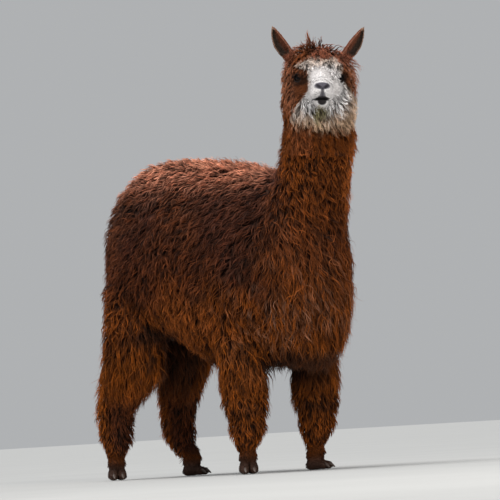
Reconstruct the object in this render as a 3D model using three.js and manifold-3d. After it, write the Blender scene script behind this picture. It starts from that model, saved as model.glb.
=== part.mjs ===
// A life-size huacaya alpaca standing still, with its head turned to its right.
// The body is modelled whole, as round-ended lofts joined together, and then parted with thin flat cuts.
// Millimetres. The animal faces -Y, its left side is +X, up is +Z, and its soles lie on the plane Z = 0.
import * as THREE from "three";
import { mergeVertices } from "three/addons/utils/BufferGeometryUtils.js";
import Module from "manifold-3d";

const wasm = await Module();
wasm.setup();

// ---- Driving dimensions ---------------------------------------------------------------------
const CUT = 0.4; // width of each cut that parts the body
const LEFT = 1;
const RIGHT = -1;

const RUMP_TOP = 990; // highest point of the back, over the croup
const WITHERS_TOP = 924; // the back in front of the saddle, where the neck rises
const BELLY = 334; // lower edge of the belly fleece
const HALF_WIDTH = 212; // half the barrel's width, fleece included
const CHEST_FRONT = -478; // the breast's fleece
const RUMP_BACK = 470; // the fleece under the tail

const NECK_RADIUS = 112; // fleece included
const EYE_LEVEL = 1170; // height of the eyes
const EYES_AT = [-50, -478]; // where the head's own origin, midway between the eyes, stands
const HEAD_TURN = THREE.MathUtils.degToRad(-41); // about +Z: towards the animal's right
const HEAD_TILT = THREE.MathUtils.degToRad(3.5); // about its own long axis
const EYE_SPACING = 110; // between the two eyeballs' centres
const EYE_RADIUS = 16;
const LOOKOUT_FORWARD = 23; // from an eye's centre to the middle of the gap in the fleece before it
const LOOKOUT_RADII = [17, 17, 14];

const HALF_STANCE = 108; // from the midline to each foot
// Where each foot stands along the body, and the wrist or hock above it, and how far its toes turn out.
const STANCE = {
  fore_right: { foot: -140, joint: -145, toeOut: 40 },
  fore_left: { foot: -214, joint: -230, toeOut: 8 },
  hind_right: { foot: 446, joint: 438, toeOut: 38 },
  hind_left: { foot: 330, joint: 380, toeOut: 12 },
};

// ---- Making solids --------------------------------------------------------------------------

/** A THREE geometry as a manifold-3d solid. */
function solid(geometry) {
  const bare = geometry.clone();
  bare.deleteAttribute("normal");
  bare.deleteAttribute("uv");
  const merged = mergeVertices(bare, 1e-3);
  return new wasm.Manifold(
    new wasm.Mesh({
      numProp: 3,
      vertProperties: merged.attributes.position.array,
      triVerts: new Uint32Array(merged.index.array),
    }),
  );
}

/** Several THREE geometries as one solid. */
function joined(geometries) {
  return wasm.Manifold.union(geometries.map(solid));
}

/** A manifold-3d solid as a THREE geometry. */
function geometryOf(made) {
  const mesh = made.getMesh();
  const geometry = new THREE.BufferGeometry();
  geometry.setAttribute("position", new THREE.BufferAttribute(new Float32Array(mesh.vertProperties), 3));
  geometry.setIndex(new THREE.BufferAttribute(new Uint32Array(mesh.triVerts), 1));
  geometry.computeVertexNormals();
  return geometry;
}

/**
 * A closed body through stations { at: [x, y, z], side, over, under }, with a dome on each end.
 * side is its half width along X. over is its half depth towards X cross the spine's direction:
 * up where the spine runs back along +Y, and forwards where it runs up. under is the half depth
 * the other way. square bends the section from an ellipse (2) towards a box. grow thickens it all
 * round, for a cutter that leaves a gap.
 */
function loft(stations, { around = 16, rows = 2, square = 2, domes = [0, 0], domeRows = 3, grow = 0 } = {}) {
  const spine = new THREE.CatmullRomCurve3(stations.map((s) => new THREE.Vector3(...s.at)));
  const sizes = new THREE.CatmullRomCurve3(
    stations.map((s) => new THREE.Vector3(s.side + grow, s.over + grow, s.under + grow)),
    false,
    "catmullrom",
    0.5,
  );
  const steps = (stations.length - 1) * rows;
  const rings = [];
  for (let i = -domeRows; i <= steps + domeRows; i++) {
    const t = THREE.MathUtils.clamp(i / steps, 0, 1);
    const beyond = i < 0 ? i : Math.max(0, i - steps);
    const angle = (Math.PI / 2) * (Math.abs(beyond) / (domeRows + 1));
    const along = spine.getTangent(t);
    const reach = Math.sign(beyond) * Math.sin(angle) * (domes[i < 0 ? 0 : 1] + grow);
    const centre = spine.getPoint(t).addScaledVector(along, reach);
    const size = sizes.getPoint(t).multiplyScalar(Math.cos(angle));
    const across = new THREE.Vector3(1, 0, 0).addScaledVector(along, -along.x).normalize();
    const outward = new THREE.Vector3().crossVectors(across, along);
    rings.push({ centre, size, across, outward });
  }
  const start = spine.getPoint(0).addScaledVector(spine.getTangent(0), -domes[0] - grow);
  const end = spine.getPoint(1).addScaledVector(spine.getTangent(1), domes[1] + grow);

  const points = [start];
  for (const { centre, size, across, outward } of rings) {
    for (let j = 0; j < around; j++) {
      const angle = (2 * Math.PI * j) / around;
      const c = Math.cos(angle);
      const s = Math.sin(angle);
      const x = Math.sign(c) * Math.abs(c) ** (2 / square) * size.x;
      const z = Math.sign(s) * Math.abs(s) ** (2 / square) * (s > 0 ? size.y : size.z);
      points.push(centre.clone().addScaledVector(across, x).addScaledVector(outward, z));
    }
  }
  points.push(end);

  const faces = [];
  const at = (ring, j) => 1 + ring * around + (j % around);
  const last = rings.length - 1;
  for (let j = 0; j < around; j++) {
    faces.push(0, at(0, j), at(0, j + 1));
    faces.push(points.length - 1, at(last, j + 1), at(last, j));
    for (let ring = 0; ring < last; ring++) {
      faces.push(at(ring, j), at(ring + 1, j), at(ring + 1, j + 1));
      faces.push(at(ring, j), at(ring + 1, j + 1), at(ring, j + 1));
    }
  }
  const geometry = new THREE.BufferGeometry().setFromPoints(points);
  geometry.setIndex(faces);
  return geometry;
}

/** A ball stretched to the three half sizes given, round a centre. */
function ball(centre, [x, y, z], around = 20) {
  const geometry = new THREE.SphereGeometry(1, around, Math.round(around * 0.6));
  return geometry.rotateX(Math.PI / 2).scale(x, y, z).translate(...centre);
}

// ---- Trunk, neck and tail -------------------------------------------------------------------

/** The barrel, from the breast to the rump. Each row: place along Y, top, bottom and share of the width. */
function trunk(grow = 0) {
  const middle = 650; // the height where every section is widest
  const profile = [
    [CHEST_FRONT + 32, 770, 395, 0.31],
    [-405, 860, 350, 0.55],
    [-320, 915, BELLY + 2, 0.8],
    [-200, WITHERS_TOP, BELLY, 0.97],
    [-60, 953, BELLY, 1.0],
    [20, 969, BELLY + 6, 1.0],
    [90, 983, BELLY + 46, 1.0],
    [175, RUMP_TOP, BELLY + 92, 0.99],
    [275, 982, BELLY + 118, 0.96],
    [370, 928, BELLY + 130, 0.8],
    [RUMP_BACK - 35, 838, 520, 0.5],
  ];
  const stations = profile.map(([y, top, bottom, share]) => {
    return { at: [0, y, middle], side: share * HALF_WIDTH, over: top - middle, under: middle - bottom };
  });
  return loft(stations, { around: 20, rows: 1, square: 2.25, domes: [30, 35], domeRows: 2, grow });
}

/** The neck, from inside the chest up into the head's fleece. */
function neck() {
  const stations = [
    { at: [0, -290, 600], side: 140, over: 160, under: 120 },
    { at: [0, -335, 730], side: 124, over: 130, under: 120 },
    { at: [0, -372, 840], side: NECK_RADIUS + 4, over: NECK_RADIUS + 2, under: NECK_RADIUS },
    { at: [0, -402, 950], side: NECK_RADIUS, over: NECK_RADIUS - 2, under: NECK_RADIUS - 4 },
    { at: [-10, -430, 1050], side: NECK_RADIUS, over: NECK_RADIUS - 6, under: NECK_RADIUS - 6 },
    { at: [-26, -450, 1140], side: 96, over: 90, under: 94 },
  ];
  return loft(stations, { around: 18, domes: [60, 40] });
}

/** The tail, hanging close behind the rump. */
function tail() {
  const stations = [
    { at: [0, 420, 850], side: 34, over: 30, under: 30 },
    { at: [0, 468, 815], side: 40, over: 30, under: 34 },
    { at: [0, 492, 745], side: 42, over: 26, under: 34 },
    { at: [0, 497, 670], side: 30, over: 22, under: 26 },
  ];
  return loft(stations, { around: 12, domes: [10, 30], domeRows: 2 });
}

// ---- Head, in its own frame: origin midway between the eyes, facing -Y ------------------------

const headFrame = new THREE.Matrix4()
  .makeTranslation(...EYES_AT, EYE_LEVEL)
  .multiply(new THREE.Matrix4().makeRotationZ(HEAD_TURN))
  .multiply(new THREE.Matrix4().makeRotationY(HEAD_TILT));

/** Skull and topknot, muzzle and the fleece of the cheeks and jaw. */
function headPieces() {
  const crown = loft(
    [
      { at: [0, -12, 40], side: 78, over: 54, under: 66 },
      { at: [0, 28, 26], side: 108, over: 100, under: 96 },
      { at: [0, 76, 14], side: 118, over: 112, under: 110 },
      { at: [0, 118, -6], side: 96, over: 90, under: 100 },
    ],
    { around: 16, square: 2.15, domes: [22, 34], domeRows: 2 },
  );
  const muzzle = loft(
    [
      { at: [0, -118, -43], side: 27, over: 22, under: 26 },
      { at: [0, -98, -47], side: 34, over: 31, under: 37 },
      { at: [0, -66, -41], side: 40, over: 39, under: 46 },
      { at: [0, -34, -25], side: 54, over: 50, under: 56 },
      { at: [0, 10, -6], side: 74, over: 62, under: 66 },
    ],
    { around: 14, square: 2.3, domes: [12, 20], domeRows: 2 },
  );
  const cheeks = ball([0, 48, -66], [122, 84, 88], 14);
  const beard = loft(
    [
      { at: [0, -70, -80], side: 26, over: 20, under: 16 },
      { at: [0, -40, -96], side: 54, over: 40, under: 30 },
      { at: [0, 6, -112], side: 84, over: 60, under: 46 },
      { at: [0, 60, -108], side: 92, over: 60, under: 56 },
    ],
    { around: 14, rows: 1, domes: [14, 30], domeRows: 2 },
  );
  return [crown, muzzle, cheeks, beard];
}

const EAR_ROOT = [88, 52, 76];
const EAR_TIP = [137, 36, 159];

/** One ear: a long leaf with its hollow facing forwards. */
function ear(side) {
  const root = new THREE.Vector3(side * EAR_ROOT[0], EAR_ROOT[1], EAR_ROOT[2]);
  const tip = new THREE.Vector3(side * EAR_TIP[0], EAR_TIP[1], EAR_TIP[2]);
  const place = (t, bow) => root.clone().lerp(tip, t).add(new THREE.Vector3(side * bow, 0, 0)).toArray();
  const leaf = [
    { at: place(-0.3, -6), side: 17, over: 14, under: 14 },
    { at: place(0.1, 0), side: 21, over: 15, under: 15 },
    { at: place(0.42, 3), side: 20, over: 12, under: 14 },
    { at: place(0.75, 2), side: 13, over: 8, under: 10 },
    { at: place(0.97, 0), side: 4, over: 3.5, under: 4 },
  ];
  const hollow = [
    { at: place(0.24, 1), side: 10, over: 14, under: 2 },
    { at: place(0.45, 3), side: 13, over: 14, under: 4 },
    { at: place(0.72, 2), side: 8, over: 10, under: 3 },
    { at: place(0.86, 1), side: 3, over: 6, under: 1 },
  ];
  const scoop = loft(hollow, { around: 8, domes: [4, 3], domeRows: 1 }).translate(side * -1, -9, 2);
  return solid(loft(leaf, { around: 9, domes: [6, 5], domeRows: 1 })).subtract(solid(scoop));
}

// ---- Legs -------------------------------------------------------------------------------------

/** The fleece of a fore leg, from the fetlock up into the chest. */
function foreLeg({ x, foot, joint }) {
  const stations = [
    { at: [x, foot + 8, 62], side: 27, over: 29, under: 29 },
    { at: [x, (foot + joint) / 2 + 4, 95], side: 38, over: 40, under: 40 },
    { at: [x, joint, 150], side: 58, over: 62, under: 58 },
    { at: [x, joint, 220], side: 65, over: 71, under: 69 },
    { at: [x, joint + 2, 300], side: 70, over: 80, under: 78 },
    { at: [x * 0.98, joint + 6, 380], side: 70, over: 88, under: 84 },
    { at: [x * 0.95, joint + 12, 470], side: 74, over: 92, under: 96 },
  ];
  return loft(stations, { around: 14, rows: 1, domes: [18, 50], domeRows: 1 });
}

const HAUNCH_BACK = 346; // where the haunch's middle lies along the body

/** The fleece of a hind leg, from the fetlock over the hock up into the haunch. */
function hindLeg({ x, foot, joint }, grow = 0) {
  const trail = joint - HAUNCH_BACK; // a leg that stands further back bares more of its thigh in front
  const stations = [
    { at: [x, foot + 10, 62], side: 27, over: 29, under: 29 },
    { at: [x, (foot + 2 * joint) / 3, 98], side: 38, over: 40, under: 42 },
    { at: [x, joint, 150], side: 51, over: 55, under: 55 },
    { at: [x, joint, 220], side: 57, over: 66, under: 61 },
    { at: [x, (2 * joint + HAUNCH_BACK) / 3, 300], side: 64, over: 84 + 0.17 * trail, under: 58 },
    { at: [x, (joint + HAUNCH_BACK) / 2, 350], side: 74, over: 98 + 0.45 * trail, under: 52 },
    { at: [x, (joint + 2 * HAUNCH_BACK) / 3, 400], side: 86, over: 112 + 0.6 * trail, under: 50 },
    { at: [x * 0.98, HAUNCH_BACK, 490], side: 97, over: 126 + 0.4 * trail, under: 68 },
    { at: [x * 0.92, HAUNCH_BACK - 20, 600], side: 100, over: 124, under: 84 },
  ];
  return loft(stations, { around: 16, rows: 1, domes: [18, 80], domeRows: 1, grow });
}

const TOE_SPREAD = 14; // each toe's centre, to the side of the foot's own
const TOE_LENGTH = 37; // from the fetlock's line to the nail's root

/** Turns a geometry made for a foot at the origin by its own toe-out, and stands it in its place. */
function stood(geometry, { side, x, foot, toeOut }) {
  return geometry.rotateZ(THREE.MathUtils.degToRad(side * toeOut)).translate(x, foot, 0);
}

/** A foot's short-haired pastern and its two toes. Their undersides dip below the floor, to be cut flat. */
function foot(leg, grow = 0) {
  const pastern = loft(
    [
      { at: [0, -8, 28], side: 26, over: 27, under: 27 },
      { at: [0, 3, 52], side: 24, over: 25, under: 26 },
      { at: [0, 8, 84], side: 24, over: 25, under: 26 },
    ],
    { around: 10, rows: 1, domes: [16, 10], domeRows: 1, grow },
  );
  const toes = [LEFT, RIGHT].map((toe) =>
    loft(
      [
        { at: [toe * (TOE_SPREAD + 1), -TOE_LENGTH, 15], side: 10.5, over: 13, under: 18 },
        { at: [toe * TOE_SPREAD, -22, 19], side: 14, over: 19, under: 22 },
        { at: [toe * TOE_SPREAD * 0.8, 8, 21], side: 15, over: 21, under: 24 },
      ],
      { around: 8, rows: 1, square: 2.3, domes: [7, 14], domeRows: 1, grow },
    ),
  );
  return [pastern, ...toes].map((piece) => stood(piece, leg));
}

/** The claw-like nail on the front of a toe, standing off the flesh by a cut's width. */
function nail(leg, toe) {
  const root = toe * (TOE_SPREAD + 1);
  const claw = loft(
    [
      { at: [root - toe * 1, -TOE_LENGTH - 23, 7], side: 2.4, over: 2.6, under: 2.4 },
      { at: [root, -TOE_LENGTH - 10, 12], side: 6, over: 7, under: 6.5 },
      { at: [root, -TOE_LENGTH + 4, 14.5], side: 7, over: 8, under: 9 },
    ],
    { around: 8, rows: 1, domes: [2, 3], domeRows: 1 },
  );
  return solid(stood(claw, leg)).subtract(joined(foot(leg, CUT)));
}

const legs = Object.entries(STANCE).map(([name, place]) => {
  const side = name.endsWith("left") ? LEFT : RIGHT;
  return { name, fore: name.startsWith("fore"), side, x: side * HALF_STANCE, ...place };
});

// ---- The whole animal -------------------------------------------------------------------------

const eyes = [LEFT, RIGHT].map((side) => ({
  name: side === LEFT ? "eye_left" : "eye_right",
  centre: [(side * EYE_SPACING) / 2, -4, 0],
  gaze: [side * 0.74, -0.66, 0.06],
}));

/** An eyeball, or with a grow the socket that clears it. */
function eyeball(centre, grow = 0) {
  return ball(centre, Array(3).fill(EYE_RADIUS + grow), 10).applyMatrix4(headFrame);
}

/** The gap in the fleece through which an eye looks out. */
function lookout({ centre, gaze }) {
  const middle = centre.map((v, i) => v + gaze[i] * LOOKOUT_FORWARD);
  return ball(middle, LOOKOUT_RADII, 8).applyMatrix4(headFrame);
}

/** Everything but the eyes, nails and tail, as one solid. */
function wholeBody() {
  const pieces = [trunk(), neck(), ...headPieces().map((piece) => piece.applyMatrix4(headFrame))];
  for (const leg of legs) {
    pieces.push(leg.fore ? foreLeg(leg) : hindLeg(leg), ...foot(leg));
  }
  const ears = [LEFT, RIGHT].map((side) => ear(side).transform(headFrame.elements));
  const sockets = eyes.flatMap((eye) => [eyeball(eye.centre, CUT), lookout(eye)]);
  const floor = new THREE.BoxGeometry(2000, 2000, 100).translate(0, 0, -50);
  return wasm.Manifold.union([joined(pieces), ...ears]).subtract(joined([...sockets, floor]));
}

/** The tail, standing off the rump by a cut's width. */
function looseTail() {
  const haunches = legs.filter(({ fore }) => !fore).map((leg) => hindLeg(leg, CUT));
  return solid(tail()).subtract(joined([trunk(CUT), ...haunches]));
}

// ---- Parting it -------------------------------------------------------------------------------

/** A cutter made round the origin, square to +Y, put at a place with its +Y along a direction. */
function placed(cutter, centre, direction) {
  const turn = new THREE.Quaternion().setFromUnitVectors(
    new THREE.Vector3(0, 1, 0),
    new THREE.Vector3(...direction).normalize(),
  );
  return cutter.applyQuaternion(turn).translate(...centre);
}

/** A thin round cut, square to a direction. */
function disc(centre, direction, radius) {
  return placed(new THREE.CylinderGeometry(radius, radius, CUT, 12), centre, direction);
}

const inHead = (point) => new THREE.Vector3(...point).applyMatrix4(headFrame).toArray();
const turned = (direction) => new THREE.Vector3(...direction).transformDirection(headFrame).toArray();

const HAUNCH = [0, 330, 500]; // a point of the slanted plane where the thighs leave the trunk
const HAUNCH_NORMAL = [0, -0.66, 0.75];

function cuts() {
  const made = [
    disc([0, -365, 800], [0, -0.82, 1], 250), // neck from trunk
    disc([0, -410, 1030], [0, -0.1, 1], 190), // head from neck
    disc(HAUNCH, HAUNCH_NORMAL, 330), // both thighs from trunk
  ];
  for (const side of [LEFT, RIGHT]) {
    const along = EAR_TIP.map((v, i) => (v - EAR_ROOT[i]) * (i === 0 ? side : 1));
    const base = [side * EAR_ROOT[0] * 1.09, EAR_ROOT[1] - 3, EAR_ROOT[2] + 18];
    made.push(disc(inHead(base), turned(along), 34));
  }
  // One thigh from the other, along the midline and up to the slanted plane.
  const [deep, long] = [500, 540];
  const middle = HAUNCH.map((v, i) => v - (HAUNCH_NORMAL[i] * deep) / 2);
  made.push(placed(new THREE.BoxGeometry(CUT, deep, long), middle, HAUNCH_NORMAL));
  for (const { fore, x, foot, joint } of legs) {
    if (fore) made.push(disc([x, joint, BELLY - 10], [0, 0, 1], 104));
    made.push(disc([x, joint, 230], [0, 0, 1], 95));
    made.push(disc([x, foot + 8, 64], [0, 0, 1], 60));
  }
  return made;
}

/** A point inside each part of the parted body, by the part's name. */
function seeds() {
  const found = {
    trunk: [0, 0, 650],
    neck: [0, -390, 930],
    head: inHead([0, 60, 0]),
    ear_left: inHead([EAR_TIP[0] - 14, EAR_TIP[1] + 6, EAR_TIP[2] - 26]),
    ear_right: inHead([-EAR_TIP[0] + 14, EAR_TIP[1] + 6, EAR_TIP[2] - 26]),
  };
  for (const { name, fore, x, foot, joint } of legs) {
    found[name + (fore ? "_forearm" : "_thigh")] = [x, joint, 280];
    found[name + "_cannon"] = [x, joint, 150];
    found[name + "_foot"] = [x, foot, 30];
  }
  return found;
}

// ---- The named meshes ---------------------------------------------------------------------------

const FINISHES = {
  fleece: new THREE.MeshStandardMaterial({ color: 0x6b3017, roughness: 0.95, metalness: 0 }),
  face: new THREE.MeshStandardMaterial({ color: 0x7a4326, roughness: 0.9, metalness: 0 }),
  foot: new THREE.MeshStandardMaterial({ color: 0x33211a, roughness: 0.85, metalness: 0 }),
  nail: new THREE.MeshStandardMaterial({ color: 0x241c19, roughness: 0.45, metalness: 0 }),
  eye: new THREE.MeshStandardMaterial({ color: 0x0b0807, roughness: 0.08, metalness: 0 }),
};

function finishOf(name) {
  if (name.includes("nail")) return FINISHES.nail;
  if (name.startsWith("eye")) return FINISHES.eye;
  if (name.endsWith("foot")) return FINISHES.foot;
  if (name === "head" || name.startsWith("ear")) return FINISHES.face;
  return FINISHES.fleece;
}

/** A mesh whose origin is the middle of its own box. */
function meshOf(name, geometry, finish) {
  geometry.computeBoundingBox();
  const middle = geometry.boundingBox.getCenter(new THREE.Vector3());
  const mesh = new THREE.Mesh(geometry.translate(-middle.x, -middle.y, -middle.z), finish);
  mesh.name = name;
  mesh.position.copy(middle);
  return mesh;
}

const alpaca = new THREE.Group();
const add = (name, geometry) => alpaca.add(meshOf(name, geometry, finishOf(name)));

const bodies = wholeBody().subtract(joined(cuts())).decompose();
for (const [name, seed] of Object.entries(seeds())) {
  const probe = solid(ball(seed, [1, 1, 1], 8));
  const body = bodies.find((candidate) => candidate.intersect(probe).volume() > 0);
  if (!body) throw new Error("no body holds the seed of " + name);
  add(name, geometryOf(body));
}
add("tail", geometryOf(looseTail()));
for (const { name, centre } of eyes) {
  add(name, eyeball(centre));
}
for (const leg of legs) {
  add(leg.name + "_nail_left", geometryOf(nail(leg, LEFT)));
  add(leg.name + "_nail_right", geometryOf(nail(leg, RIGHT)));
}

// The origin is the middle of the bounding box, at floor level.
const middle = new THREE.Box3().setFromObject(alpaca).getCenter(new THREE.Vector3());
for (const mesh of alpaca.children) {
  mesh.position.sub(middle.clone().setZ(0));
}

export default alpaca;
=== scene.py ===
"""A life-size huacaya alpaca: one skin, its crimped fleece as solid locks, eyes and nails.

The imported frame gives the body's outline, out to the tips of the coat. The skin is drawn in from it by
the coat's depth, and the head, ears and feet are shaped by distance fields of their own. The same marking
function colours skin and coat. Metres, except where a name or comment says millimetres. The animal faces
-Y, its left is +X, and the floor is Z = 0.
"""

import math
from types import SimpleNamespace

import bmesh
import bpy
import numpy as np
from mathutils import Matrix, Vector
from mathutils.bvhtree import BVHTree


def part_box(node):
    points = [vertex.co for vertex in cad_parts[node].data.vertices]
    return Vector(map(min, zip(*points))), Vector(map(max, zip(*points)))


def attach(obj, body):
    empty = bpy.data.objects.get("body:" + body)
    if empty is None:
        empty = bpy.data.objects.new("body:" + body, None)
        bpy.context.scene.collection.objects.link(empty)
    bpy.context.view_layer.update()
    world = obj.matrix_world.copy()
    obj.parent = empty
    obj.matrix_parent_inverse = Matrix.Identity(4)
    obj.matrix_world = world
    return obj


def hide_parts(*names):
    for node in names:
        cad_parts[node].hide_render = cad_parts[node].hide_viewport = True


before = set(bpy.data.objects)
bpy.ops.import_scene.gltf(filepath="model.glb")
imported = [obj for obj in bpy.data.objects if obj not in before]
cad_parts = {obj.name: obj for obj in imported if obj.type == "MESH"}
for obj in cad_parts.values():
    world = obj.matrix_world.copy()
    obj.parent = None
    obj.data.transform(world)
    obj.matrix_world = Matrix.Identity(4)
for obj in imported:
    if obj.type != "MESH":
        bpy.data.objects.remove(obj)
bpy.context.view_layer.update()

MM = 0.001
LEFT = 1
RIGHT = -1


def placed(name, data):
    """A new object in the scene."""
    thing = bpy.data.objects.new(name, data)
    bpy.context.scene.collection.objects.link(thing)
    return thing


# ---- Camera ----

CAMERA_AZIMUTH = math.radians(-45)
CAMERA_DISTANCE = 12.0
CAMERA_HEIGHT = 0.15
CAMERA_ROLL = math.radians(3.4)
LOOK_AT = Vector((0, 0.025, 0.70))
METRES_PER_PIXEL = 0.00308
PICTURE_PIXELS = 500
SENSOR_WIDTH = 36.0
CAMERA_SLIDE = Vector((20, -3, 0)) * METRES_PER_PIXEL


def add_camera():
    """A view from far off and low, ahead of the animal's right side, and a little rolled."""
    eye = LOOK_AT + Vector((math.sin(CAMERA_AZIMUTH), -math.cos(CAMERA_AZIMUTH), 0)) * CAMERA_DISTANCE
    eye.z = CAMERA_HEIGHT
    turn = (LOOK_AT - eye).to_track_quat("-Z", "Y").to_matrix()
    turn = turn @ Matrix.Rotation(-CAMERA_ROLL, 3, "Z")
    data = bpy.data.cameras.new("camera")
    focal_pixels = CAMERA_DISTANCE / METRES_PER_PIXEL
    data.sensor_width = SENSOR_WIDTH
    data.lens = focal_pixels / PICTURE_PIXELS * SENSOR_WIDTH
    data.clip_end = 200
    camera = placed("camera", data)
    camera.matrix_world = Matrix.Translation(eye + turn @ CAMERA_SLIDE) @ turn.to_4x4()
    bpy.context.scene.camera = camera


add_camera()

# ---- Numbers ----


def smooth(value, low, high):
    """0 below low, 1 above high, and a smooth rise between them. low may be above high."""
    t = np.clip((value - low) / (high - low), 0, 1)
    return t * t * (3 - 2 * t)


def unit(vectors):
    return vectors / np.maximum(np.linalg.norm(vectors, axis=-1, keepdims=True), 1e-12)


def mix(a, b, t):
    return a + (b - a) * t


def ridge(distance, width=1):
    """1 on a line or point, falling away over a width."""
    return np.exp(-((distance / width) ** 2))


def stack(*columns):
    """Columns, and single numbers among them, side by side as the last axis."""
    return np.stack(np.broadcast_arrays(*columns), -1)


def folded(points):
    """The points with their right half folded onto the left."""
    points = points.copy()
    points[:, 0] = np.abs(points[:, 0])
    return points


NOISE_CELLS = 32  # the noise repeats after this many features
NOISE_START = 100  # the feature that lies at the origin


def noise(points, size, seed):
    """Smooth noise from -1 to 1 over space, with features about size across."""
    table = np.random.default_rng(seed).uniform(-1, 1, (NOISE_CELLS,) * 3).astype(np.float32)
    q = points / size + NOISE_START
    base = np.floor(q).astype(int)
    f = smooth(q - base, 0, 1)
    total = 0
    for corner in np.ndindex(2, 2, 2):
        a, b, c = np.where(corner, f, 1 - f).T
        x, y, z = ((base + corner) % NOISE_CELLS).T
        total = total + a * b * c * table[x, y, z]
    return total


def ball(p, centre, radii):
    """Distance to an ellipsoid, near enough for blending."""
    q = p - np.asarray(centre, np.float32)
    radii = np.broadcast_to(np.asarray(radii, np.float32), (3,))
    k0 = np.sqrt(((q / radii) ** 2).sum(-1))
    k1 = np.sqrt(((q / radii**2) ** 2).sum(-1))
    return k0 * (k0 - 1) / np.maximum(k1, 1e-6)


def cone(p, a, b, radius_a, radius_b):
    """Distance to a round-ended cone from a to b."""
    a = np.asarray(a, np.float32)
    b = np.asarray(b, np.float32)
    t = np.clip(((p - a) @ (b - a)) / ((b - a) @ (b - a)), 0, 1)
    nearest = a + t[:, None] * (b - a)
    return np.linalg.norm(p - nearest, axis=-1) - mix(radius_a, radius_b, t)


def merge(a, *others):
    """The union of a field with others in turn, each given with the width of its fillet."""
    for b, width in others:
        h = np.clip(0.5 + 0.5 * (b - a) / width, 0, 1)
        a = b + (a - b) * h - width * h * (1 - h)
    return a


def gradient(field, points, step):
    offsets = step * np.eye(3, dtype=np.float32)
    return stack(*[(field(points + offset) - field(points - offset)) / (2 * step) for offset in offsets])


MOST_AT_ONCE = 400_000  # points of a field's grid


def net(field, low, high, step):
    """The zero surface of a field inside a box: a point for each crossed cell, and outward quads."""
    axes = [np.arange(l, h + step, step, dtype=np.float32) for l, h in zip(low, high)]
    shape = tuple(len(a) for a in axes)
    grid = np.stack(np.meshgrid(*axes, indexing="ij"), -1).reshape(-1, 3)
    parts = np.array_split(grid, 1 + len(grid) // MOST_AT_ONCE)
    value = np.concatenate([field(part) for part in parts]).reshape(shape)
    cells = tuple(n - 1 for n in shape)
    total = np.zeros(cells, np.float32)
    centre = np.zeros(cells + (3,), np.float32)

    def window(corner):
        return value[tuple(slice(o, o + n) for o, n in zip(corner, cells))]

    for a in np.ndindex(2, 2, 2):
        for axis in range(3):
            if a[axis]:
                continue
            va = window(a)
            vb = window(tuple(1 if i == axis else v for i, v in enumerate(a)))
            crossed = (va < 0) != (vb < 0)
            t = np.where(crossed, va / np.where(crossed, va - vb, 1), 0)
            total += crossed
            for i in range(3):
                centre[..., i] += np.where(crossed, a[i] + (t if i == axis else 0), 0)
    has = total > 0
    index = np.full(cells, -1)
    index[has] = np.arange(has.sum())
    place = np.stack(np.nonzero(has), -1) + centre[has] / total[has][:, None]
    points = np.asarray(low, np.float32) + place * step
    quads = []
    for axis in range(3):
        u, v = (axis + 1) % 3, (axis + 2) % 3
        here = tuple(slice(0, -1) if i == axis else slice(1, -1) for i in range(3))
        there = tuple(slice(1, None) if i == axis else slice(1, -1) for i in range(3))
        a, b = value[here] < 0, value[there] < 0
        for inside, flip in ((a & ~b, False), (~a & b, True)):
            at = np.stack(np.nonzero(inside), -1)
            at[:, [u, v]] += 1
            ring = []
            for du, dv in ((1, 1), (0, 1), (0, 0), (1, 0)):
                cell = at.copy()
                cell[:, u] -= du
                cell[:, v] -= dv
                ring.append(index[tuple(cell.T)])
            quads.append(np.stack(ring[::-1] if flip else ring, -1))
    return points, np.concatenate(quads)


def settle(field, points, rounds=3, step=0.4):
    """Moves points onto the zero surface of a field."""
    for _ in range(rounds):
        slope = gradient(field, points, step)
        square = np.maximum((slope**2).sum(-1), 0.05)
        shift = slope * (field(points) / square)[:, None]
        length = np.linalg.norm(shift, axis=-1, keepdims=True)
        points = points - shift * np.minimum(1, 1.5 / np.maximum(length, 1e-6))
    return points


def edges_of(faces):
    n = faces.shape[1]
    pairs = np.concatenate([np.stack([faces[:, i], faces[:, (i + 1) % n]], -1) for i in range(n)])
    return np.unique(np.sort(pairs, -1), axis=0)


def relax(points, edges, rounds, strength=0.5):
    """Laplacian smoothing."""
    count = np.bincount(edges.ravel(), minlength=len(points))[:, None]
    for _ in range(rounds):
        total = np.zeros_like(points)
        for axis in range(3):
            for a, b in ((0, 1), (1, 0)):
                total[:, axis] += np.bincount(edges[:, a], points[edges[:, b], axis], len(points))
        points = points + (total / np.maximum(count, 1) - points) * strength
    return points


def face_normals(points, faces):
    a = points[faces[:, 2]] - points[faces[:, 0]]
    b = points[faces[:, -1]] - points[faces[:, 1]]
    return np.cross(a, b) / 2


def point_normals(points, faces):
    flat = face_normals(points, faces)
    total = np.zeros_like(points)
    for column in range(faces.shape[1]):
        for axis in range(3):
            total[:, axis] += np.bincount(faces[:, column], flat[:, axis], len(points))
    return unit(total)


def mesh_of(name, points, faces):
    """A Blender mesh from points and an array of triangles or quads."""
    mesh = bpy.data.meshes.new(name)
    mesh.vertices.add(len(points))
    mesh.vertices.foreach_set("co", np.asarray(points, np.float32).ravel())
    mesh.loops.add(faces.size)
    mesh.loops.foreach_set("vertex_index", faces.astype(np.int32).ravel())
    mesh.polygons.add(len(faces))
    starts = np.arange(0, faces.size, faces.shape[1], dtype=np.int32)
    mesh.polygons.foreach_set("loop_start", starts)
    mesh.update(calc_edges=True)
    mesh.shade_smooth()
    return mesh


def arrays_of(mesh):
    """A mesh's points and its triangles."""
    points = np.zeros(len(mesh.vertices) * 3, np.float32)
    mesh.vertices.foreach_get("co", points)
    mesh.calc_loop_triangles()
    faces = np.zeros(len(mesh.loop_triangles) * 3, np.int32)
    mesh.loop_triangles.foreach_get("vertices", faces)
    return points.reshape(-1, 3), faces.reshape(-1, 3)


def triangles_of(quads):
    return np.concatenate([quads[:, [0, 1, 2]], quads[:, [0, 2, 3]]])


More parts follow.
